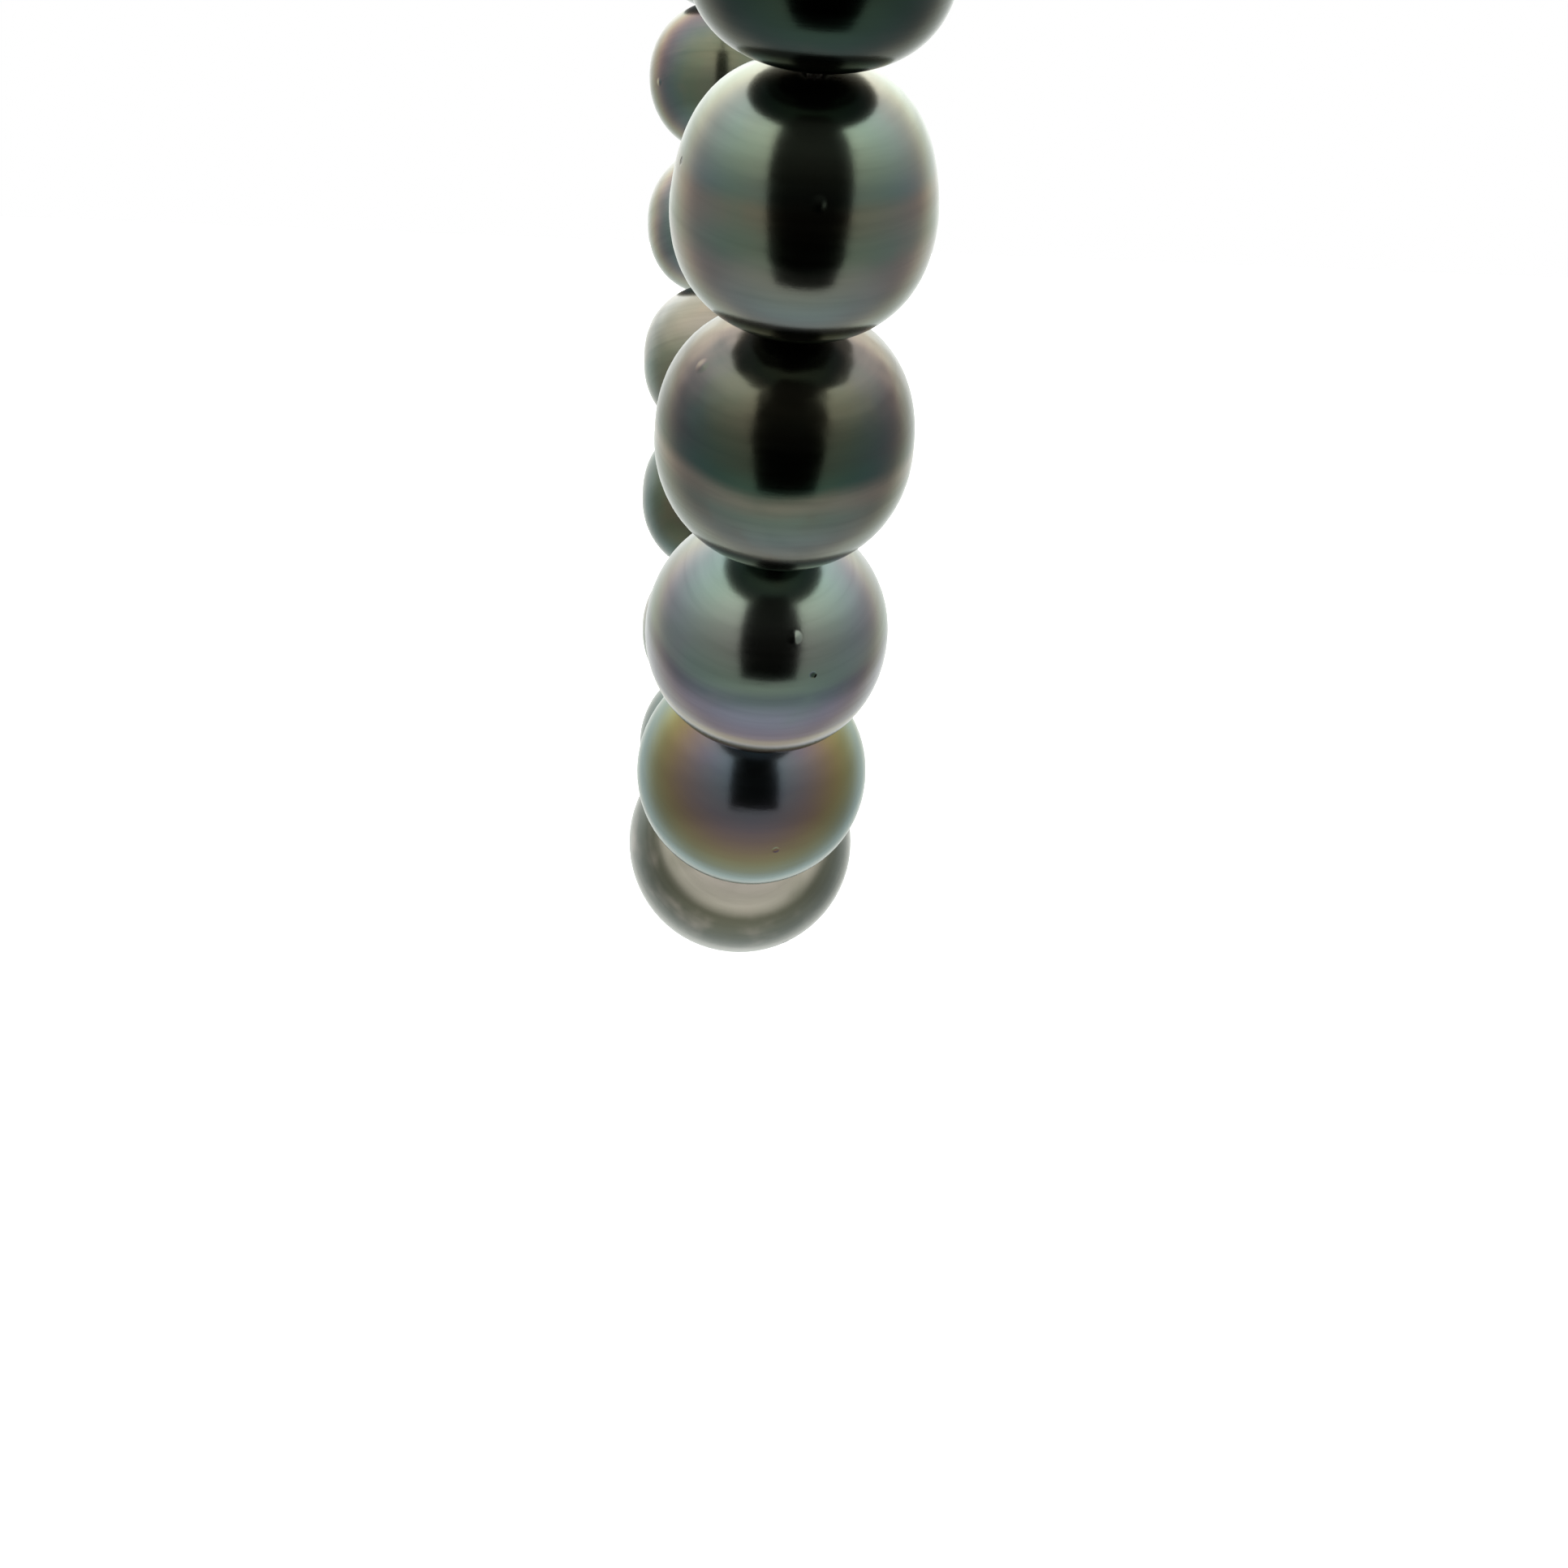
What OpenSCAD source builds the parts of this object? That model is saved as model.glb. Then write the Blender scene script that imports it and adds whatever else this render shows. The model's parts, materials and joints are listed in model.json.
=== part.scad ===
// Hanging strand of dark pearls with a gold trigger clasp. The loop lies in the Y-Z plane, +Z up.
// The origin is the axis of the round form that the strand hangs over, halfway through its width.

/* [Loop] */
// Catenary constant of the free lower part: a small value makes a narrow bottom
catenary = 22.3; // [20:0.1:26]
// Arc length from the lowest pearl up to where the strand first meets the round form
hanging_length = 126.2; // [120:0.1:128]

/* [Pearls] */
// Free space along the strand between two neighbouring pearls
pearl_gap = 0.2; // [0.15:0.01:0.3]
// Diameter of the drill hole
drill_d = 1.0; // [0.8:0.05:1.2]

/* [Silk] */
// Diameter of the doubled silk thread
silk_d = 0.6; // [0.4:0.05:0.7]
// Diameter of the end knots
knot_d = 1.1; // [0.8:0.1:1.3]

/* [Clasp] */
// Thickness of the claw along its pin
claw_w = 2.6; // [2.4:0.1:3]
// Thickness of the hook and of the tail eye
hook_w = 1.6; // [1.4:0.1:1.6]
// Diameter of the lever's pin
pin_d = 0.8; // [0.7:0.05:0.9]
// Wire diameter of the closed ring
ring_wire = 0.9; // [0.8:0.05:0.9]
// Outer diameter of the coiled wire sleeve over the silk loops
sleeve_d = 0.8; // [0.6:0.05:0.8]

/* [Hidden] */
// Diameters of the pearls as matched for stringing, from the front end of the strand to the back end
sizes = [9.0, 9.1, 9.1, 9.2, 9.2, 9.3, 9.4, 9.4, 9.3, 9.5, 9.4, 9.7, 9.5, 9.8, 9.6,
         9.3, 9.9, 10.3, 10.4, 10.7, 11.0, 10.0, 9.8, 9.4, 9.6, 9.7, 9.7, 9.8,
         9.9, 10.0, 9.7, 9.9, 9.7, 9.8, 9.6, 9.8, 9.5, 9.6, 9.5, 9.4, 9.3, 9.2, 9.0];
count = len(sizes);
lowest = 22;

// Curve of the strand, by arc length s from its lowest point, back side positive
join_half = catenary * ln(hanging_length / catenary + sqrt(pow(hanging_length / catenary, 2) + 1));
join_rise = sqrt(pow(catenary, 2) + pow(hanging_length, 2)) - catenary;
join_lean = atan(catenary / hanging_length);
form_r = join_half / cos(join_lean);
bottom_z = -join_rise - form_r * sin(join_lean);

function asinh(x) = ln(x + sqrt(x * x + 1));
function over_form(s) = (abs(s) - hanging_length) / form_r * 180 / PI - join_lean;
function curve(s) =
    abs(s) < hanging_length
        ? [catenary * asinh(s / catenary), bottom_z + sqrt(pow(catenary, 2) + s * s) - catenary]
        : [sign(s) * form_r * cos(over_form(s)), form_r * sin(over_form(s))];
function heading(s) =
    abs(s) < hanging_length ? atan(s / catenary) : sign(s) * (90 + over_form(s));
function along(angle) = [cos(angle), sin(angle)];

// Arc length, centre and heading of each pearl, numbered from 1
function pitch_between(i) = (sizes[i - 1] + sizes[i]) / 2 + pearl_gap;
function sum_pitch(a, b) = a >= b ? 0 : pitch_between(a) + sum_pitch(a + 1, b);
function pearl_s(i) = i < lowest ? -sum_pitch(i, lowest) : sum_pitch(lowest, i);
function centre(i) = curve(pearl_s(i));
function axis(i) = along(heading(pearl_s(i)));
function pole(i, side) = centre(i) + side * axis(i) * sizes[i - 1] / 2;
// Where the silk bends between pearl i and pearl i + 1
function bend_point(i) = (pole(i, 1) + pole(i + 1, -1)) / 2;

// Clasp, drawn in its own plane: the first number runs from its tail to its nose, the second outwards
hook_c = [2, 0];
hook_in = 2.6;
hook_out = 3.6;
pivot = [-0.9, 2.3];
eye_c = [-4.9, 0];
eye_out = 1.6;
eye_in = 0.85;
ring_r = 1.7;
ring_a = eye_c[0] - ring_r;
back_loop_r = 1.5;
back_loop_a = ring_a - ring_r + ring_wire / 2 + sleeve_d / 2 + 0.05 - back_loop_r;
front_loop_r = 2.4;
front_loop_a = 6.35;
lever_w = 1.1;
slot_w = 1.3;
tip = hook_c + 2.1 * along(30);
thumb = pivot + [-0.8, 1.4];
clasp_z = pole(1, -1)[1] + 0.5;
// The clasp's own zero lies a little in front of the middle, so that both end knots have the same room
clasp_shift = -(front_loop_a + front_loop_r + back_loop_a - back_loop_r) / 2;
function on_clasp(a) = [-(a + clasp_shift), clasp_z];

function pearl_name(i) = str("pearl_", i < 10 ? "0" : "", i);
$fn = 48;

module at_pearl(i) {
    translate([0, centre(i)[0], centre(i)[1]]) rotate([heading(pearl_s(i)) - 90, 0, 0]) children();
}

module round_pearl(d) {
    difference() {
        sphere(d = d);
        cylinder(h = d + 1, d = drill_d, center = true);
    }
}

module pearl(i) {
    tone = i % 3 == 0 ? "#4a4f4a" : i % 3 == 1 ? "#565b56" : "#5d5f66";
    color(tone) at_pearl(i) round_pearl(sizes[i - 1]);
}

// One closed tube through a list of [y, z, radius] stations
sides = 8;
function station_heading(p, k) =
    let (n = len(p) - 1, a = p[max(k - 1, 0)], b = p[min(k + 1, n)])
    atan2(b[1] - a[1], b[0] - a[0]);
function ring_points(p, k) =
    let (h = station_heading(p, k))
    [for (j = [0:sides - 1])
        let (t = 360 * j / sides)
        [p[k][2] * cos(t), p[k][0] - p[k][2] * sin(t) * sin(h), p[k][1] + p[k][2] * sin(t) * cos(h)]];

module tube(p) {
    n = len(p);
    points = [for (k = [0:n - 1]) each ring_points(p, k)];
    walls = [for (k = [0:n - 2]) for (j = [0:sides - 1])
        let (m = (j + 1) % sides)
        each [[k * sides + j, k * sides + m, (k + 1) * sides + m],
              [k * sides + j, (k + 1) * sides + m, (k + 1) * sides + j]]];
    caps = [[for (j = [sides - 1:-1:0]) j], [for (j = [0:sides - 1]) (n - 1) * sides + j]];
    polyhedron(points, concat(walls, caps));
}

function knot(c, dir) = [
    concat(c - dir * knot_d / 2, silk_d / 2),
    concat(c - dir * knot_d / 4, knot_d / 2),
    concat(c + dir * knot_d / 4, knot_d / 2),
    concat(c + dir * knot_d / 2, silk_d / 2)];

module silk_cord() {
    front_knot = (pole(1, -1) + on_clasp(front_loop_a + front_loop_r + sleeve_d / 2)) / 2;
    back_knot = (pole(count, 1) + on_clasp(back_loop_a - back_loop_r - sleeve_d / 2)) / 2;
    color("#2c2c2e") tube(concat(
        knot(front_knot, axis(1)),
        [concat(pole(1, -1), silk_d / 2)],
        [for (i = [1:count - 1]) concat(bend_point(i), silk_d / 2)],
        [concat(pole(count, 1), silk_d / 2)],
        knot(back_knot, axis(count))));
}

module wire_ring(r, wire) {
    rotate_extrude() translate([r, 0]) circle(d = wire);
}

// Puts a drawing of the clasp's plane into the loop's plane
module in_clasp_plane() {
    translate([0, -clasp_shift, clasp_z]) rotate([90, 0, -90]) children();
}

module front_wire_sleeve() {
    color("#c9a24a") in_clasp_plane() translate([front_loop_a, 0, 0]) rotate([90, 0, 0])
        wire_ring(front_loop_r, sleeve_d);
}

module back_wire_sleeve() {
    color("#c9a24a") in_clasp_plane() translate([back_loop_a, 0, 0]) wire_ring(back_loop_r, sleeve_d);
}

module clasp_ring() {
    color("#d4af55") in_clasp_plane() translate([ring_a, 0, 0]) rotate([90, 0, 0])
        wire_ring(ring_r, ring_wire);
}

module pin_hole(d) {
    translate(pivot) cylinder(h = claw_w + 1, d = d, center = true);
}

module claw_plate(w) {
    linear_extrude(height = w, center = true) children();
}

module mouth() {
    polygon([hook_c, hook_c + 8 * along(38), hook_c + 9 * along(65), hook_c + 8 * along(104)]);
}

module clasp_claw() {
    cheek = (claw_w - slot_w) / 2;
    color("#d4af55") in_clasp_plane() difference() {
        union() {
            claw_plate(hook_w) difference() {
                union() {
                    translate(hook_c) circle(r = hook_out);
                    translate(eye_c) circle(r = eye_out);
                    polygon([eye_c + [0, 1.5], [-0.6, 2.6], [-0.2, -2.6], eye_c + [0, -1.5]]);
                }
                translate(hook_c) circle(r = hook_in);
                translate(eye_c) circle(r = eye_in);
                mouth();
            }
            for (side = [-1, 1]) translate([0, 0, side * (slot_w + cheek) / 2])
                claw_plate(cheek) difference() {
                    union() {
                        translate(pivot) circle(r = 1.3);
                        polygon([pivot + [-1.3, 0], pivot + [1.3, 0], [0.2, 0.6], [-2.6, -0.6]]);
                    }
                    translate(hook_c) circle(r = hook_in);
                }
        }
        translate([-2.4, 0.9, -slot_w / 2]) cube([4.4, 4, slot_w]);
        pin_hole(pin_d);
    }
}

module clasp_lever() {
    bar = 0.45;
    reach = tip - pivot;
    side = bar * [-reach[1], reach[0]] / norm(reach);
    up = thumb - pivot;
    across = 0.5 * [-up[1], up[0]] / norm(up);
    color("#dcb860") in_clasp_plane() difference() {
        claw_plate(lever_w) {
            translate(pivot) circle(r = 0.85);
            translate(tip) circle(r = bar);
            polygon([pivot + side, pivot - side, tip - side, tip + side]);
            translate(thumb) circle(r = 0.55);
            polygon([pivot + across, pivot - across, thumb - across, thumb + across]);
        }
        pin_hole(pin_d + 0.06);
    }
}

module lever_pin() {
    color("#c9a24a") in_clasp_plane() translate(pivot) cylinder(h = claw_w, d = pin_d, center = true);
}

// Flat spring behind the lever, bearing on the floor of the slot
module lever_spring() {
    color("#b9b9bd") in_clasp_plane() claw_plate(0.8)
        polygon([[-2.3, 0.95], [-1.3, 0.95], [-1.3, 1.1], [-2.15, 1.1], [-2.05, 2.1], [-2.2, 2.1], [-2.3, 1.0]]);
}

for (i = [1:count]) pearl(i);
silk_cord();
front_wire_sleeve();
back_wire_sleeve();
clasp_ring();
clasp_claw();
clasp_lever();
lever_pin();
lever_spring();
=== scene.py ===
"""Hanging strand of dark pearls on silk, closed by a gold trigger clasp."""
import json
import math
import random

import bmesh
import bpy
import numpy as np
from mathutils import Matrix, Quaternion, Vector, noise


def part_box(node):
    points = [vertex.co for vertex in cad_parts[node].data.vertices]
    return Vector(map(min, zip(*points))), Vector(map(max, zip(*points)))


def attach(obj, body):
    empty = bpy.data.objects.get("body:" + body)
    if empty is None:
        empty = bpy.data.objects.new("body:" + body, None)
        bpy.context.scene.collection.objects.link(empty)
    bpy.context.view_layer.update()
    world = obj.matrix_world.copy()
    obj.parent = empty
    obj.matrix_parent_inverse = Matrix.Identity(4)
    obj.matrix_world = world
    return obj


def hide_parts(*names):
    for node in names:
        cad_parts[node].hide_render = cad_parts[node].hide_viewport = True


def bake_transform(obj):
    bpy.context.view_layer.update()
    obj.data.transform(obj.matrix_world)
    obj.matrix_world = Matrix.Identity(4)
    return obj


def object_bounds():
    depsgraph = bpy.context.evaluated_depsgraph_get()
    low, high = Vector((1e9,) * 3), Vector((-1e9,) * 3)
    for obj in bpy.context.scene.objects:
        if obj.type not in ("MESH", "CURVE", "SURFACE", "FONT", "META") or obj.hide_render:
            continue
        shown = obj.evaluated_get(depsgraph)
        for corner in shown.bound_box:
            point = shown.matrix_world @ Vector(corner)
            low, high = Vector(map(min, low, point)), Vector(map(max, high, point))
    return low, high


MM = 0.001
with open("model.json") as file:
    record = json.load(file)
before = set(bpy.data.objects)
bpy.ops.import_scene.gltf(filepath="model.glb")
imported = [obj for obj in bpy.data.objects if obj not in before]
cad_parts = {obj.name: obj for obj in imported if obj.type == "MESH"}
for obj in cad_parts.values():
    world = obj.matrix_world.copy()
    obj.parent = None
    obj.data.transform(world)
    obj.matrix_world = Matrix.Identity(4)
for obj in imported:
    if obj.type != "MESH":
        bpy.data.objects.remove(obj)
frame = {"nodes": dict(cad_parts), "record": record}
cad_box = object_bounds()
scene = bpy.context.scene

COUNT = 43
LOWEST = 22
ROOT_FIRST, ROOT_LAST = 14, 30
DRILL_R = 0.5 * MM
PEARLS = range(1, COUNT + 1)
CROSSWISE = Vector((1, 0, 0))


# ---------------------------------------------------------------- camera

def make_camera():
    spot = Vector((-7.18, -123.11, -76.97)) * MM
    heading = Vector((0.0807, 0.9569, -0.2789))
    roll = 0.0438
    data = bpy.data.cameras.new("camera")
    data.lens = 52.4
    data.sensor_width = 36
    data.clip_start = 1 * MM
    data.clip_end = 20
    camera = bpy.data.objects.new("camera", data)
    camera.location = spot
    camera.rotation_mode = "QUATERNION"
    turn = Quaternion((0, 0, 1), roll)
    camera.rotation_quaternion = heading.to_track_quat("-Z", "Y") @ turn
    scene.collection.objects.link(camera)
    scene.camera = camera


make_camera()


# ---------------------------------------------------------------- where the pearls are

def pearl_name(i):
    return f"pearl_{i:02d}"


def pearl_body(i):
    if i < ROOT_FIRST:
        return f"front_bead_{i:02d}"
    if i > ROOT_LAST:
        return f"back_bead_{i:02d}"
    return "lower_strand"


boxes = {i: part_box(pearl_name(i)) for i in PEARLS}
centre = {i: (low + high) / 2 for i, (low, high) in boxes.items()}
radius = {i: (high.x - low.x) / 2 for i, (low, high) in boxes.items()}


def drill_axis(i):
    """Direction of the drill hole, found from its wall, pointing up the strand's own side."""
    mesh = frame["nodes"][pearl_name(i)].data
    inside = 0.6 * radius[i]
    wall = [p.normal for p in mesh.polygons if (p.center - centre[i]).length < inside]
    normals = np.array([tuple(n) for n in wall])
    axis = Vector(np.linalg.eigh(normals.T @ normals)[1][:, 0])
    onward = centre[min(i + 1, COUNT)] - centre[max(i - 1, 1)]
    if axis.dot(onward) < 0:
        axis = -axis
    return -axis if i <= LOWEST else axis


axes = {i: drill_axis(i) for i in PEARLS}


def own_frame(i):
    """Columns: across the strand, away from the viewer, up the drill hole."""
    up = axes[i]
    return Matrix((CROSSWISE, up.cross(CROSSWISE), up)).transposed()


# ---------------------------------------------------------------- shader helpers

# Which output of a node is read, by its place in the node
ATTRIBUTE_VECTOR, ATTRIBUTE_NUMBER = 1, 2
COORD_DIRECTION, COORD_OBJECT = 0, 3
VECTOR_NUMBER = 1
MIXED_COLOUR = 2
WEIGHT_FACING = 1


class Value:
    """The output of a shader node, which takes part in plain sums."""

    def __init__(self, shader, socket):
        self.shader = shader
        self.socket = socket

    def sum(self, operation, a, b):
        return self.shader.node("ShaderNodeMath", {"operation": operation}, {0: a, 1: b})

    def __add__(self, other):
        return self.sum("ADD", self, other)

    def __sub__(self, other):
        return self.sum("SUBTRACT", self, other)

    def __rsub__(self, other):
        return self.sum("SUBTRACT", other, self)

    def __mul__(self, other):
        return self.sum("MULTIPLY", self, other)

    __radd__ = __add__
    __rmul__ = __mul__


class Shader:
    """The node tree of a material or a world, with short ways to add nodes to it."""

    def __init__(self, owner):
        self.owner = owner
        owner.use_nodes = True
        self.tree = owner.node_tree
        self.tree.nodes.clear()

    def node(self, kind, settings=None, inputs=None, output=0):
        made = self.tree.nodes.new(kind)
        for key, value in (settings or {}).items():
            if key == "stops":
                set_stops(made.color_ramp, value)
            else:
                setattr(made, key, value)
        for key, value in (inputs or {}).items():
            self.put(made.inputs[key], value)
        return Value(self, made.outputs[output]) if made.outputs else None

    def put(self, socket, value):
        if isinstance(value, Value):
            self.tree.links.new(value.socket, socket)
        else:
            socket.default_value = value

    def ramp(self, value, stops):
        return self.node("ShaderNodeValToRGB", {"stops": stops}, {0: value})

    def smooth(self, value, low, high, to_low=0.0, to_high=1.0):
        """value carried smoothly from low..high to to_low..to_high."""
        inputs = {0: value, 1: low, 2: high, 3: to_low, 4: to_high}
        return self.node("ShaderNodeMapRange", {"interpolation_type": "SMOOTHSTEP"}, inputs)

    def blend(self, share, a, b, how="MIX"):
        settings = {"data_type": "RGBA", "blend_type": how}
        inputs = {0: share, 6: full_colour(a), 7: full_colour(b)}
        return self.node("ShaderNodeMix", settings, inputs, MIXED_COLOUR)

    def vector(self, operation, a, b, output=0):
        return self.node("ShaderNodeVectorMath", {"operation": operation}, {0: a, 1: b}, output)

    def number(self, operation, a, b):
        """A vector sum whose result is one number."""
        return self.vector(operation, a, b, VECTOR_NUMBER)

    def attribute(self, name, output):
        return self.node("ShaderNodeAttribute", {"attribute_name": name}, output=output)

    def coordinate(self, output):
        return self.node("ShaderNodeTexCoord", output=output)

    def noise(self, place, scale, detail=2.0, roughness=0.5, lot=0.0):
        inputs = {"Vector": place, "W": lot, "Scale": scale, "Detail": detail,
                  "Roughness": roughness}
        return self.node("ShaderNodeTexNoise", {"noise_dimensions": "4D"}, inputs)

    def bump(self, height, strength, distance):
        inputs = {"Strength": strength, "Distance": distance, "Height": height}
        return self.node("ShaderNodeBump", inputs=inputs)

    def principled(self, **inputs):
        names = {"ior": "IOR", "coat_ior": "Coat IOR", "thin_film_ior": "Thin Film IOR"}
        named = {names.get(k, k.replace("_", " ").title()): v for k, v in inputs.items()}
        return self.node("ShaderNodeBsdfPrincipled", inputs=named)

    def finish(self, surface):
        kind = "World" if isinstance(self.owner, bpy.types.World) else "Material"
        self.node(f"ShaderNodeOutput{kind}", inputs={0: surface})
        return self.owner


def material(name):
    return Shader(bpy.data.materials.new(name))


def set_stops(ramp, stops):
    ramp.interpolation = "EASE"
    while len(ramp.elements) > 1:
        ramp.elements.remove(ramp.elements[0])
    for k, (place, colour) in enumerate(stops):
        element = ramp.elements[0] if k == 0 else ramp.elements.new(place)
        element.position = place
        element.color = full_colour(colour)


def full_colour(value):
    return value if isinstance(value, Value) else (*value[:3], 1.0)


# ---------------------------------------------------------------- nacre

def grey(level, tint=(1.0, 1.0, 1.0)):
    return tuple(level * t for t in tint)


MOSS, SAGE, MINT = (0.78, 1.2, 0.9), (0.94, 1.1, 0.87), (0.9, 1.1, 0.96)
BROWN, CREAM, PINK = (1.12, 1.0, 0.78), (1.07, 1.0, 0.86), (1.12, 0.98, 0.92)
LILAC, BLUE, OLIVE = (0.96, 0.96, 1.14), (0.9, 1.0, 1.06), (1.03, 1.04, 0.8)
ASH, BRASS, DEEP_BRASS = (0.97, 1.02, 1.0), (0.14, 0.16, 0.04), (0.14, 0.16, 0.03)
GROWTH_LINE = (0.02, 0.025, 0.02)
# Near black painted into each pinhole: painted shade inside the hole
PINHOLE_SHADE = (0.01, 0.01, 0.008)

# Reach of the two blemishes of a pearl, as shares of its radius: a raised spot and a pinhole
SPOT_REACH = 0.065
PIT_EDGE, PIT_FLOOR = 0.035, 0.015


def nacre(name, bands, rose, leaf, film=512, film_ior=1.14, gloss_ior=2.0, film_share=0.3,
          rings=0.5, drift=0.12, mottle=0.4, dimples=0.0, rim=(0.5, 0.82)):
    """Dark mother-of-pearl. bands are (height, level, tint) from the lower pole at 0 to the upper at
    1. rose and leaf are the colours of its clouds, and film is a thickness in nanometres. The thin
    clear film gives the overtones, over a metallic ground that has the body colour."""
    s = material(name)
    place = s.attribute("own_place", ATTRIBUTE_VECTOR)
    lot = s.attribute("lot", ATTRIBUTE_NUMBER)
    height = s.number("DOT_PRODUCT", place, (0.0, 0.0, 1.0))
    sway = s.noise(place, 0.9, 1.0, lot=lot)
    cloud = s.noise(place, 2.2, 3.0, 0.45, lot=lot)
    lines = s.noise(s.vector("MULTIPLY", place, (0.7, 0.7, 13.0)), 1.0, 4.0, 0.6, lot=lot)
    grain = s.noise(place, 60.0, 2.0, lot=lot)
    level = height * 0.5 + 0.5 + (sway - 0.5) * drift
    body = s.ramp(level, [(at, grey(depth, tint)) for at, depth, tint in bands])
    body = s.blend(s.smooth(cloud, 0.52, 0.75) * mottle, body, rose)
    body = s.blend(s.smooth(cloud, 0.46, 0.25) * mottle, body, leaf)
    body = s.blend(s.smooth(lines, 0.42, 0.75) * (0.4 * rings), body, GROWTH_LINE)
    from_spot = s.number("DISTANCE", place, s.attribute("pit_a", ATTRIBUTE_VECTOR))
    from_pit = s.number("DISTANCE", place, s.attribute("pit_b", ATTRIBUTE_VECTOR))
    spot = s.smooth(from_spot, SPOT_REACH, 0.0)
    pit = s.smooth(from_pit, PIT_EDGE, PIT_FLOOR)
    # The pinhole is painted near black, as painted shade inside the hole, over its dent in the bump
    body = s.blend(pit * 0.85, body, PINHOLE_SHADE)
    relief = lines * (0.35 * rings) + grain * 0.03 + cloud * 0.5 + spot * 1.6 - pit * 1.2
    if dimples:
        beaten = s.noise(place, 3.4, 1.0, lot=lot)
        relief = relief + beaten * s.smooth(height, 0.35, 0.75) * dimples
    bump = s.bump(relief, 0.35, 0.1 * MM)
    rough = s.smooth(lines, 0.2, 0.8, 0.17, 0.22)
    ground = s.principled(base_color=body, metallic=1.0, roughness=rough, normal=bump)
    clear = s.principled(base_color=(0.0, 0.0, 0.0, 1.0), roughness=rough, normal=bump,
                         ior=gloss_ior, thin_film_thickness=film, thin_film_ior=film_ior)
    facing = s.node("ShaderNodeLayerWeight", inputs={0: 0.5}, output=WEIGHT_FACING)
    share = s.smooth(facing, rim[1], rim[0], 0.1 * film_share, film_share)
    return s.finish(s.node("ShaderNodeMixShader", inputs={0: share, 1: ground, 2: clear}))


# Finishes of single pearls by number, then those of the rest by colour slot
finishes = {
    16: nacre("nacre_deep_green", [(0.0, 0.03, MOSS), (0.5, 0.032, MOSS), (1.0, 0.05, SAGE)],
              rose=(0.05, 0.05, 0.038), leaf=(0.024, 0.045, 0.033), film_share=0.08),
    17: nacre("nacre_silver_sage",
              [(0.0, 0.13, MINT), (0.25, 0.14, MINT), (0.42, 0.16, CREAM), (0.52, 0.14, SAGE),
               (0.64, 0.14, BROWN), (0.7, 0.125, MINT), (0.78, 0.155, SAGE), (0.9, 0.17, SAGE),
               (1.0, 0.19, CREAM)],
              rose=(0.17, 0.145, 0.11), leaf=(0.11, 0.155, 0.12), film_share=0.22, rings=0.35,
              mottle=0.3),
    18: nacre("nacre_dark_olive",
              [(0.0, 0.12, MINT), (0.35, 0.12, MINT), (0.47, 0.115, SAGE), (0.55, 0.14, BROWN),
               (0.62, 0.05, MOSS), (0.7, 0.047, SAGE), (0.82, 0.058, BROWN), (0.92, 0.1, BROWN),
               (1.0, 0.13, BROWN)],
              rose=(0.11, 0.08, 0.05), leaf=(0.04, 0.07, 0.055), film_share=0.16, dimples=3.0),
    # On pearl 19 the pale cream stop at 0.35 is a painted highlight, a pale line low on the pearl
    19: nacre("nacre_lilac_silver",
              [(0.0, 0.18, BLUE), (0.3, 0.17, LILAC), (0.35, 0.2, CREAM), (0.4, 0.16, LILAC),
               (0.52, 0.19, LILAC), (0.6, 0.13, BLUE), (0.66, 0.18, MINT), (0.8, 0.17, ASH),
               (1.0, 0.2, MINT)],
              rose=(0.19, 0.17, 0.18), leaf=(0.15, 0.19, 0.165), film_share=0.25, rings=0.4),
    20: nacre("nacre_peacock",
              [(0.0, 0.12, MINT), (0.6, 0.11, MOSS), (0.85, 1.0, BRASS), (1.0, 1.0, DEEP_BRASS)],
              rose=(0.11, 0.1, 0.08), leaf=(0.07, 0.12, 0.08), film=394, film_ior=1.13,
              gloss_ior=2.15, film_share=0.75, rim=(0.62, 0.86)),
    21: nacre("nacre_taupe_cap",
              [(0.0, 0.1, SAGE), (0.6, 0.1, OLIVE), (0.82, 0.1, OLIVE), (0.885, 0.5, CREAM),
               (1.0, 0.6, PINK)],
              rose=(0.5, 0.42, 0.38), leaf=(0.2, 0.21, 0.15), film=325, film_share=0.2,
              drift=0.03),
    "pearl_green": nacre("nacre_green",
                         [(0.0, 0.07, MOSS), (0.35, 0.06, MOSS), (0.6, 0.09, SAGE),
                          (1.0, 0.1, MOSS)],
                         rose=(0.1, 0.085, 0.065), leaf=(0.05, 0.09, 0.065), film=346),
    "pearl_silver": nacre("nacre_silver",
                          [(0.0, 0.17, MINT), (0.4, 0.15, SAGE), (0.7, 0.19, CREAM),
                           (1.0, 0.2, BLUE)],
                          rose=(0.24, 0.2, 0.17), leaf=(0.13, 0.18, 0.14)),
    "pearl_olive": nacre("nacre_olive",
                         [(0.0, 0.15, SAGE), (0.3, 0.1, SAGE), (0.5, 0.09, BROWN),
                          (1.0, 0.14, BROWN)],
                         rose=(0.16, 0.12, 0.09), leaf=(0.07, 0.11, 0.08)),
    "pearl_lilac": nacre("nacre_lilac",
                         [(0.0, 0.24, BLUE), (0.3, 0.17, LILAC), (0.6, 0.2, BLUE),
                          (1.0, 0.2, MINT)],
                         rose=(0.22, 0.18, 0.2), leaf=(0.15, 0.19, 0.17)),
    "pearl_taupe": nacre("nacre_taupe",
                         [(0.0, 0.15, BROWN), (0.4, 0.13, SAGE), (0.6, 0.2, CREAM),
                          (1.0, 0.26, PINK)],
                         rose=(0.28, 0.22, 0.18), leaf=(0.14, 0.17, 0.12), film=346),
}


# ---------------------------------------------------------------- pearls

SEGMENTS = 72
RINGS = 56
LIP = 0.1 * MM
DENT_DEPTH, GROWTH_DEPTH = 0.004, 0.001
slot_of = {row["node"]: row["material_slot"] for row in frame["record"]["subparts"]}

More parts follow.
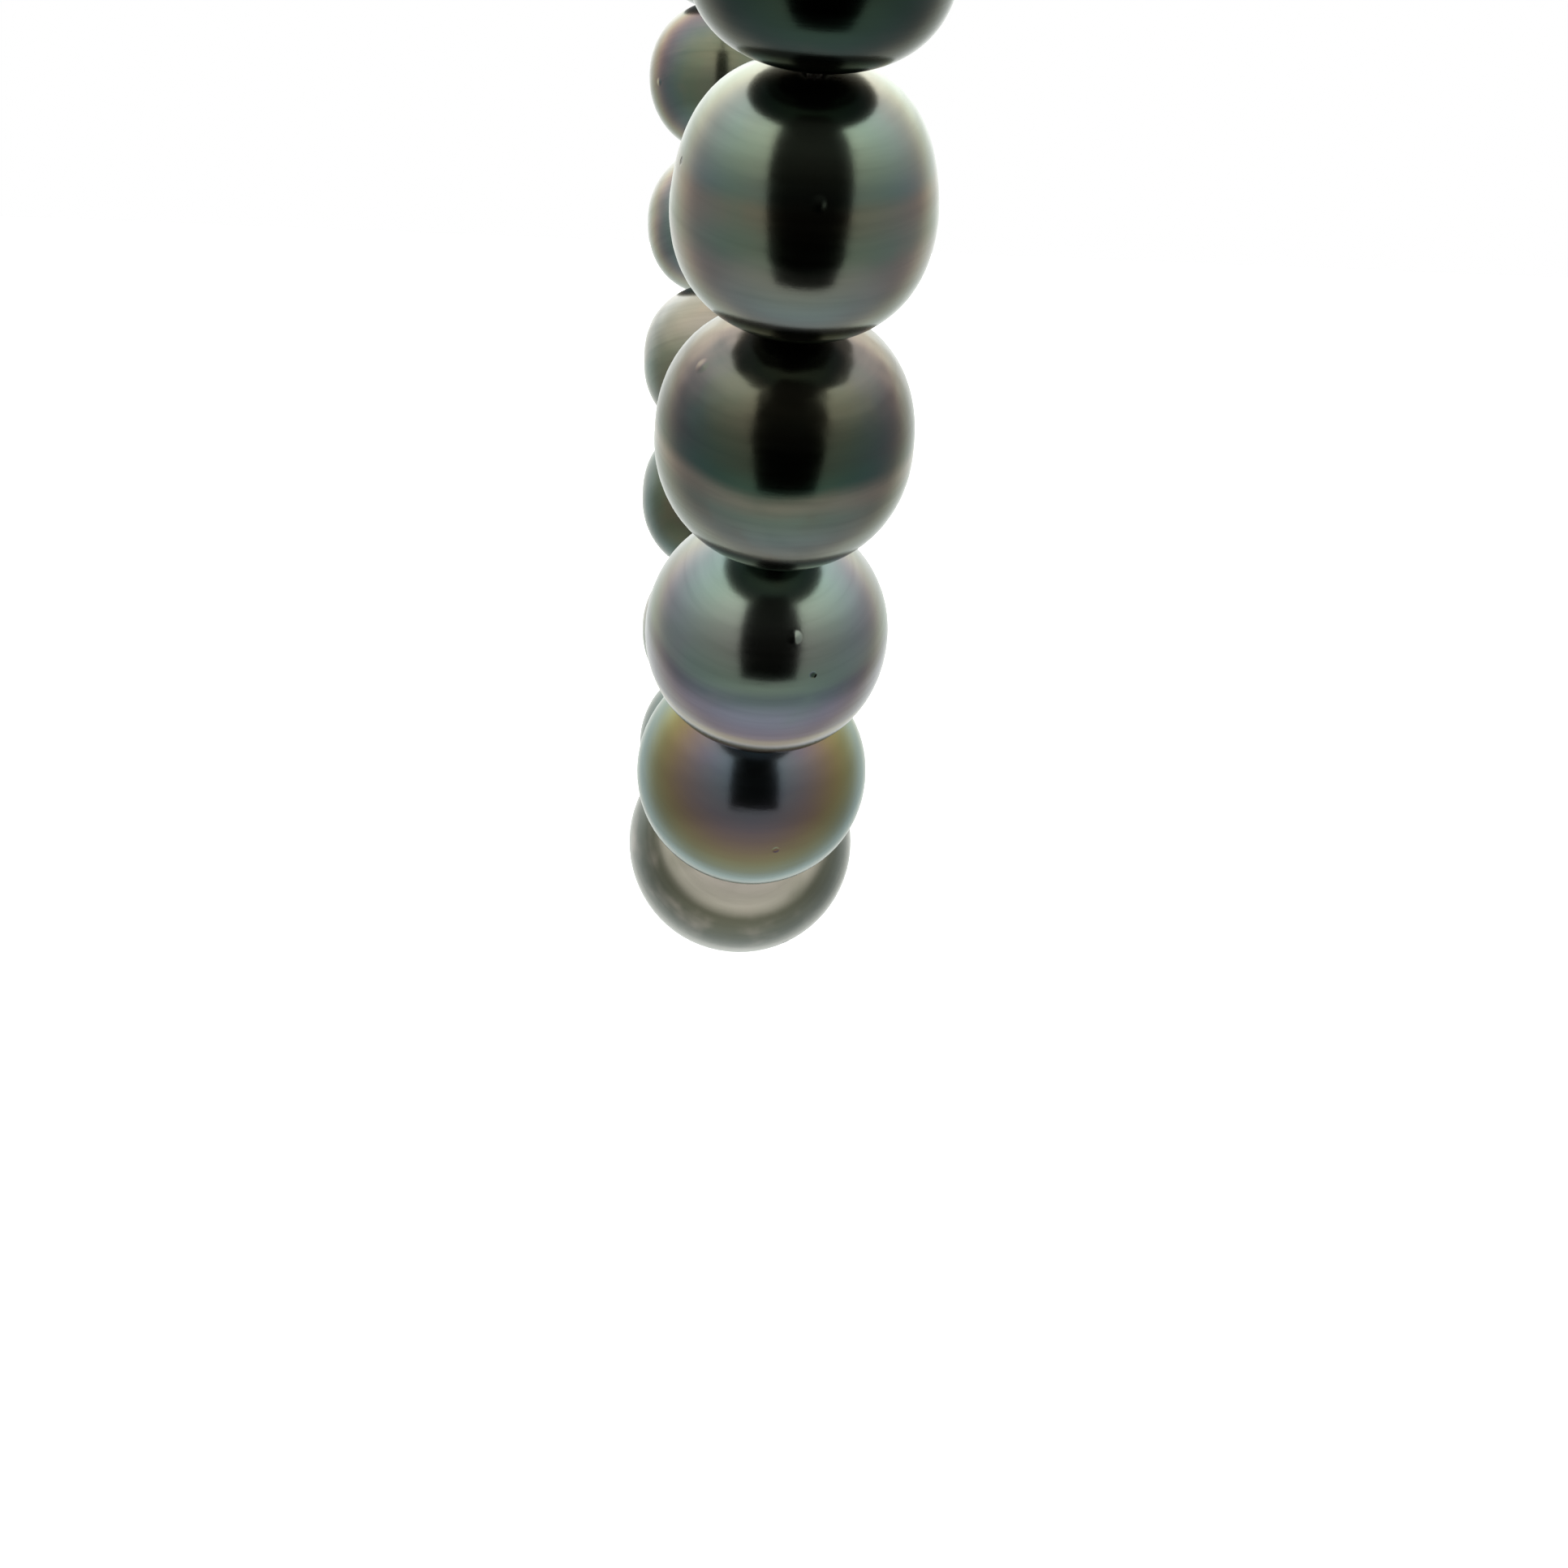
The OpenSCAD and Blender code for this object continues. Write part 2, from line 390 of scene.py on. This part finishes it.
# How far a pearl is from a sphere. wide and off scale and shift it across the strand, as shares of
# its radius; head and foot are the squareness of its upper and lower half, 2 for round and 4 for
# flat; lean narrows its upper end; high and low stretch those halves along the drill hole.
ROUND = {"wide": 1.0, "off": 0.0, "head": 2.0, "foot": 2.0, "lean": 0.0, "high": 1.0, "low": 1.0}
shapes = {
    16: {"wide": 1.055, "head": 2.2, "foot": 2.6, "low": 0.93},
    17: {"wide": 1.02, "head": 2.7, "foot": 2.4, "lean": 0.1, "high": 1.06, "low": 0.98},
    18: {"wide": 1.02, "off": -0.01, "head": 2.4, "foot": 2.1, "high": 1.02},
    19: {"wide": 1.02, "off": -0.01, "head": 2.1, "foot": 2.1},
    20: {"wide": 1.02},
    21: {"wide": 1.05, "off": 0.03, "head": 2.2, "foot": 2.2},
    26: {"head": 2.3, "foot": 2.2},
}

# Directions of the blemishes that a pearl is known to have, in its own frame
pits = {
    (17, "pit_a"): Vector((0.02, -0.91, 0.39)).normalized(),
    (18, "pit_a"): Vector((-0.62, -0.2, 0.72)).normalized(),
    (18, "pit_b"): Vector((0.6, 0.6, -0.5)).normalized(),
    (19, "pit_a"): Vector((0.14, -0.69, 0.69)).normalized(),
    (19, "pit_b"): Vector((0.3, -0.83, 0.42)).normalized(),
}


def new_object(name, mesh, finish):
    made = bpy.data.objects.new(name, mesh)
    scene.collection.objects.link(made)
    mesh.materials.append(finish)
    return made


def new_piece(name, mesh, body, slot, finish, *nodes):
    """A finished mesh as a piece that rides on a body and stands for CAD nodes."""
    piece = new_object(name, mesh, finish)
    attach(piece, body)
    if nodes:
        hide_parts(*nodes)


def pearl_outline(bm, r):
    """Closed half section of a drilled pearl in the X-Z plane, with lips at the drill hole."""
    rim = math.asin((DRILL_R + LIP) / r)
    swing = [rim + (math.pi - 2 * rim) * k / RINGS for k in range(RINGS + 1)]
    outer = [(r * math.sin(a), r * math.cos(a)) for a in swing]
    lip_z = r * math.cos(rim)
    lip = [(DRILL_R + 0.3 * LIP, lip_z - 0.08 * LIP), (DRILL_R, lip_z - 0.6 * LIP)]
    lower = [(x, -z) for x, z in lip]
    wall = [(DRILL_R, -0.5 * r), (DRILL_R, 0.5 * r)]
    line = outer + lower + wall + lip[::-1]
    verts = [bm.verts.new((x, 0, z)) for x, z in line]
    edges = [bm.edges.new((verts[k], verts[(k + 1) % len(verts)])) for k in range(len(verts))]
    return verts + edges


def any_shape(chance):
    return {"wide": chance.uniform(0.97, 1.01), "head": chance.uniform(2.0, 2.4),
            "foot": chance.uniform(2.0, 2.4)}


def random_way(chance):
    return Vector((chance.gauss(0, 1), chance.gauss(0, 1), chance.gauss(0, 1))).normalized()


def out_of_round(way, lot, shape):
    """Place of a pearl's surface in a direction from its middle, for a radius of 1."""
    power = shape["head"] if way.z > 0 else shape["foot"]
    reach = (math.hypot(way.x, way.y) ** power + abs(way.z) ** power) ** (-1 / power)
    dent = DENT_DEPTH * (1 + noise.noise(way * 1.3 + Vector((lot, 0, 0))))
    growth = Vector((0.3 * way.x, 0.3 * way.y + lot, 9 * way.z))
    circle = GROWTH_DEPTH * (1 + noise.noise(growth))
    wide = shape["wide"] * (reach - dent - circle) * (1 - shape["lean"] * max(0.0, way.z))
    shift = shape["off"] * (1 - way.z * way.z)
    tall = shape["high"] if way.z > 0 else shape["low"]
    return Vector((way.x * wide + shift, way.y * wide, way.z * (reach - dent) * tall))


def give_points(mesh, name, kind, values):
    """Stores one value for each point, as an attribute that the finish reads."""
    field = "vector" if kind == "FLOAT_VECTOR" else "value"
    mesh.attributes.new(name, kind, "POINT").data.foreach_set(field, values)


def make_pearl(i, chance):
    r = radius[i]
    skin = 0.97 * r
    lot = chance.uniform(0, 40)
    shape = {**ROUND, **(shapes.get(i) or any_shape(chance))}
    bm = bmesh.new()
    outline = pearl_outline(bm, r)
    bmesh.ops.spin(bm, geom=outline, cent=(0, 0, 0), axis=(0, 0, 1), dvec=(0, 0, 0),
                   angle=2 * math.pi, steps=SEGMENTS, use_merge=True)
    bmesh.ops.remove_doubles(bm, verts=bm.verts, dist=1e-7)
    bmesh.ops.recalc_face_normals(bm, faces=bm.faces)
    turn = own_frame(i)
    places = []
    for v in bm.verts:
        way = v.co.normalized()
        places.extend(way)
        if v.co.length > skin:
            v.co = r * out_of_round(way, lot, shape)
        v.co = centre[i] + turn @ v.co
    for f in bm.faces:
        f.smooth = True
    mesh = bpy.data.meshes.new(pearl_name(i))
    bm.to_mesh(mesh)
    bm.free()
    count = len(mesh.vertices)
    give_points(mesh, "own_place", "FLOAT_VECTOR", places)
    give_points(mesh, "lot", "FLOAT", [lot] * count)
    for name in ("pit_a", "pit_b"):
        pit = pits.get((i, name)) or random_way(chance)
        give_points(mesh, name, "FLOAT_VECTOR", list(pit) * count)
    slot = slot_of[pearl_name(i)]
    finish = finishes.get(i) or finishes[slot]
    new_piece(f"nacre_{pearl_name(i)}", mesh, pearl_body(i), slot, finish, pearl_name(i))


def make_pearls():
    chance = random.Random(7)
    for i in PEARLS:
        make_pearl(i, chance)


make_pearls()


# ---------------------------------------------------------------- silk

THREAD_R = 0.3 * MM
PLIES = 3
PLY_R = 0.52 * THREAD_R
LAY = 1.6 * MM
STEPS_PER_LAY = 12
KNOT_STEPS = 48
KNOT_R = 0.5 * MM


def silk_finish():
    s = material("silk")
    fibre = s.noise(s.coordinate(COORD_OBJECT), 9000.0, 3.0, 0.6)
    colour = s.blend(fibre, (0.02, 0.022, 0.024), (0.09, 0.092, 0.1))
    rough = s.smooth(fibre, 0.3, 0.7, 0.4, 0.6)
    return s.finish(s.principled(base_color=colour, roughness=rough, sheen_weight=0.5,
                                 normal=s.bump(fibre, 0.4, 0.03 * MM)))


silk = silk_finish()


def tube_mesh(name, lines, thick, closed=False):
    """Round tubes of radius thick along lists of points, as one mesh."""
    curve = bpy.data.curves.new(name, "CURVE")
    curve.dimensions = "3D"
    curve.bevel_depth = thick
    curve.bevel_resolution = 1
    curve.use_fill_caps = not closed
    for line in lines:
        spline = curve.splines.new("POLY")
        spline.points.add(len(line) - 1)
        spline.points.foreach_set("co", [x for p in line for x in (*p, 1.0)])
        spline.use_cyclic_u = closed
    holder = bpy.data.objects.new(name, curve)
    scene.collection.objects.link(holder)
    bpy.context.view_layer.update()
    graph = bpy.context.evaluated_depsgraph_get()
    mesh = bpy.data.meshes.new_from_object(holder.evaluated_get(graph))
    bpy.data.objects.remove(holder)
    bpy.data.curves.remove(curve)
    mesh.name = name
    for p in mesh.polygons:
        p.use_smooth = True
    return mesh


def twisted(path):
    """Centre lines of the plies twisted round a path of points."""
    steps = [0.0]
    for a, b in zip(path, path[1:]):
        steps.append(steps[-1] + (b - a).length)
    count = max(4, int(steps[-1] / LAY * STEPS_PER_LAY))
    lines = [[] for _ in range(PLIES)]
    across = CROSSWISE
    for k in range(count + 1):
        reach = steps[-1] * k / count
        leg = max(j for j in range(len(path) - 1) if steps[j] <= reach)
        along = (path[leg + 1] - path[leg]).normalized()
        spot = path[leg] + along * (reach - steps[leg])
        across = (across - along * across.dot(along)).normalized()
        side = across.cross(along)
        for ply, line in enumerate(lines):
            angle = 2 * math.pi * (reach / LAY + ply / PLIES)
            out = math.cos(angle) * across + math.sin(angle) * side
            line.append(spot + 0.5 * THREAD_R * out)
    return lines


def upward(i):
    """Drill direction from pearl i to pearl i + 1."""
    return -axes[i] if i <= LOWEST else axes[i]


def thread_between(first, last):
    """Points that the silk follows from the middle of one pearl to the middle of another."""
    points = [centre[first]]
    for i in range(first, last):
        points.append(centre[i] + upward(i) * radius[i])
        points.append(centre[i + 1] - upward(i + 1) * radius[i + 1])
    return points + [centre[last]]


def silk_mesh(name, path):
    return tube_mesh(name, twisted(path), PLY_R)


def make_silk():
    """Silk through the fixed root as one piece, and one piece across each joint of the arms."""
    mesh = silk_mesh("silk_lower", thread_between(ROOT_FIRST, ROOT_LAST))
    new_piece("silk_lower", mesh, "lower_strand", "silk", silk, "silk_cord")
    for i in PEARLS[:-1]:
        a, b = pearl_body(i), pearl_body(i + 1)
        if a == b:
            continue
        name = f"silk_{i:02d}_{i + 1:02d}"
        piece = new_object(name, silk_mesh(name, thread_between(i, i + 1)), silk)
        start = centre[i] + upward(i) * radius[i]
        end = centre[i + 1] - upward(i + 1) * radius[i + 1]
        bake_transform(piece)


make_silk()


def knot_path(spot, along, reach):
    """A trefoil, the path of an overhand knot, round a spot and flat across the direction along."""
    side = along.cross(CROSSWISE)
    path = []
    for k in range(KNOT_STEPS + 1):
        t = 2 * math.pi * k / KNOT_STEPS
        out = reach * (0.42 + 0.3 * math.cos(3 * t))
        rise = reach * 0.34 * math.sin(3 * t)
        across = math.cos(2 * t) * CROSSWISE + math.sin(2 * t) * side
        path.append(spot + along * rise + out * across)
    return path


def make_silk_end(i, sleeve, name):
    """Silk from the middle of an end pearl through its knot to the wire-covered loop."""
    away = (-1 if i == 1 else 1) * upward(i)
    pole = centre[i] + away * radius[i]
    low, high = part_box(sleeve)
    loop = (low + high) / 2
    reach = (high.y - low.y) / 2
    near = loop + (pole - loop).normalized() * reach
    spot = (pole + near) / 2
    path = [centre[i], pole] + knot_path(spot, away, KNOT_R) + [near, near + (loop - near) * 0.2]
    new_piece(name, silk_mesh(name, path), pearl_body(i), "silk", silk)


make_silk_end(1, "front_wire_sleeve", "silk_end_front")
make_silk_end(COUNT, "back_wire_sleeve", "silk_end_back")


# ---------------------------------------------------------------- clasp

WIRE_R = 0.11 * MM
STEPS_PER_TURN = 14
SOFT_EDGES = {"clasp_claw": 0.22 * MM, "clasp_lever": 0.18 * MM, "lever_pin": 0.1 * MM,
              "lever_spring": 0.02 * MM, "clasp_ring": 0.0}


def metal_finish(name, colour, worn, satin):
    """Polished metal with faint scratches. satin is its least roughness."""
    s = material(name)
    place = s.coordinate(COORD_OBJECT)
    wear = s.noise(place, 700.0, 3.0, 0.6)
    scratch = s.noise(s.vector("MULTIPLY", place, (400.0, 5000.0, 5000.0)), 1.0, 3.0, 0.7)
    tone = s.blend(s.smooth(wear, 0.45, 0.7) * 0.6, colour, worn)
    bump = s.bump(wear + scratch, 0.15, 0.02 * MM)
    rough = s.smooth(wear + scratch * 0.4, 0.4, 1.0, satin, satin + 0.14)
    return s.finish(s.principled(base_color=tone, metallic=1.0, roughness=rough, normal=bump))


gold = metal_finish("gold", (0.62, 0.41, 0.16), (0.47, 0.29, 0.1), 0.16)
gold_wire = metal_finish("gold_wire", (0.58, 0.39, 0.16), (0.42, 0.27, 0.1), 0.22)
spring_steel = metal_finish("spring_steel", (0.4, 0.41, 0.43), (0.28, 0.28, 0.3), 0.3)


def make_wire_sleeve(node, i):
    """Fine wire wound closely round the silk loop."""
    low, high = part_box(node)
    middle = (low + high) / 2
    spans = high - low
    flat = min(range(3), key=lambda k: spans[k])
    axle = Vector([float(k == flat) for k in range(3)])
    sleeve_r = spans[flat] / 2
    ring_r = max(spans) / 2 - sleeve_r
    u = Vector([float(k == (flat + 1) % 3) for k in range(3)])
    v = axle.cross(u)
    coil_r = sleeve_r - WIRE_R
    turns = int(2 * math.pi * (ring_r - sleeve_r + 2 * WIRE_R) / (2 * WIRE_R))
    count = turns * STEPS_PER_TURN
    line = []
    for k in range(count):
        t = 2 * math.pi * k / count
        out = u * math.cos(t) + v * math.sin(t)
        rise = coil_r * math.sin(t * turns)
        line.append(middle + out * (ring_r + coil_r * math.cos(t * turns)) + axle * rise)
    mesh = tube_mesh(f"wound_{node}", [line], WIRE_R, closed=True)
    new_piece(f"wound_{node}", mesh, pearl_body(i), "gold_wire", gold_wire, node)


def finish_clasp():
    """The clasp's own solids keep their meshes and get a finish and, but for the ring, soft edges."""
    for node, edge in SOFT_EDGES.items():
        obj = frame["nodes"][node]
        obj.data.materials.clear()
        obj.data.materials.append(spring_steel if node == "lever_spring" else gold)
        if edge:
            bevel = obj.modifiers.new("soft_edges", "BEVEL")
            bevel.width = edge
            bevel.segments = 3
            bevel.limit_method = "ANGLE"
            bevel.angle_limit = math.radians(35)
            bevel.harden_normals = True
            obj.data.polygons.foreach_set("use_smooth", [True] * len(obj.data.polygons))


make_wire_sleeve("front_wire_sleeve", 1)
make_wire_sleeve("back_wire_sleeve", COUNT)
finish_clasp()


# ---------------------------------------------------------------- studio

FLOOR_DROP = 120 * MM
FLOOR_HALF = 3.0
SQUARE = ((-1, -1), (1, -1), (1, 1), (-1, 1))

# Brightness of the tent by height, from straight down at 0 to straight up at 1
TENT_LEVELS = ((0.0, 0.46), (0.1, 0.38), (0.25, 0.29), (0.45, 0.33),
               (0.6, 0.45), (0.72, 0.68), (0.87, 0.9), (1.0, 0.95))


def plane(name, corners, finish):
    bm = bmesh.new()
    bm.faces.new([bm.verts.new(c) for c in corners])
    mesh = bpy.data.meshes.new(name)
    bm.to_mesh(mesh)
    bm.free()
    made = new_object(name, mesh, finish)
    return made


def pale_floor():
    """A floor that is not mirrored in the pearls, so that they show no horizon."""
    s = material("floor")
    pale = s.finish(s.principled(base_color=(0.93, 0.93, 0.93, 1.0), roughness=0.8))
    floor_z = cad_box[0].z - FLOOR_DROP
    corners = [(x * FLOOR_HALF, y * FLOOR_HALF, floor_z) for x, y in SQUARE]
    floor = plane("floor", corners, pale)
    floor.visible_glossy = False


def dark_card():
    """A dark strip in front of the strand, which only its reflection shows."""
    s = material("dark_card")
    black = s.finish(s.node("ShaderNodeEmission", inputs={0: (0, 0, 0, 1), 1: 0.0}))
    left, right, near = -17 * MM, 16 * MM, -60 * MM
    foot, head = -122 * MM, 12 * MM
    corners = [(left, near, foot), (right, near, foot), (right, near, head), (left, near, head)]
    card = plane("dark_card", corners, black)
    card.visible_camera = False
    card.visible_diffuse = False
    card.visible_shadow = False
    card.visible_transmission = False


def sky():
    """Light tent: white to the eye, for reflections brighter overhead and behind than in front."""
    s = Shader(bpy.data.worlds.new("tent"))
    scene.world = s.owner
    way = s.coordinate(COORD_DIRECTION)
    rise = s.number("DOT_PRODUCT", way, (0.0, 0.0, 0.5)) + 0.5
    depth = s.number("DOT_PRODUCT", way, (0.0, 1.0, 0.0))
    level = s.ramp(rise, [(at, grey(light)) for at, light in TENT_LEVELS])
    light = s.blend(1.0, level, (1.0, 1.03, 0.99), "MULTIPLY")
    power = s.smooth(depth, 0.3, 0.75, 2.6, 3.9)
    around = s.node("ShaderNodeBackground", inputs={0: light, 1: power})
    backdrop = s.node("ShaderNodeBackground", inputs={0: (1, 1, 1, 1)})
    seen = s.node("ShaderNodeLightPath")
    s.finish(s.node("ShaderNodeMixShader", inputs={0: seen, 1: around, 2: backdrop}))


pale_floor()
dark_card()
sky()
scene.view_settings.view_transform = "Standard"
